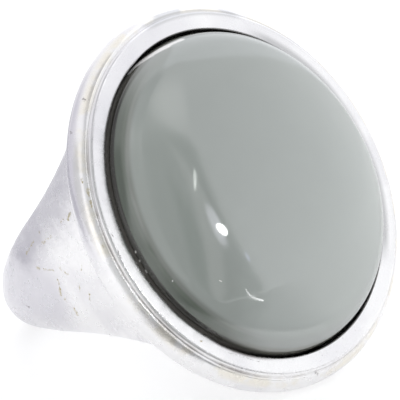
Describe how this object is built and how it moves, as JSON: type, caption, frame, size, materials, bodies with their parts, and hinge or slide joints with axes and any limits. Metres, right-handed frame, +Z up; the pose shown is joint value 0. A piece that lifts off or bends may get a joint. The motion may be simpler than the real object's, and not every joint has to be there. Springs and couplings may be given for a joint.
{
  "type": "cabochon ring",
  "caption": "Cast metal finger ring with tapered shoulders, a rounded bezel and a large round domed stone, lying on its side.",
  "frame": {"origin": "centre of the bottom of the bounding box: the ring lies on its side on the plane Z = 0", "axes": "+X runs across the band, from one shoulder to the other; the stone faces -Y and tilts upwards; +Z is up"},
  "size_m": [0.0296, 0.0284, 0.0257],
  "materials": {
    "silver": "polished",
    "stone": "polished"
  },
  "bodies": {
    "root": {"ring_body": "silver", "cabochon": "stone"}
  },
  "joints": []
}
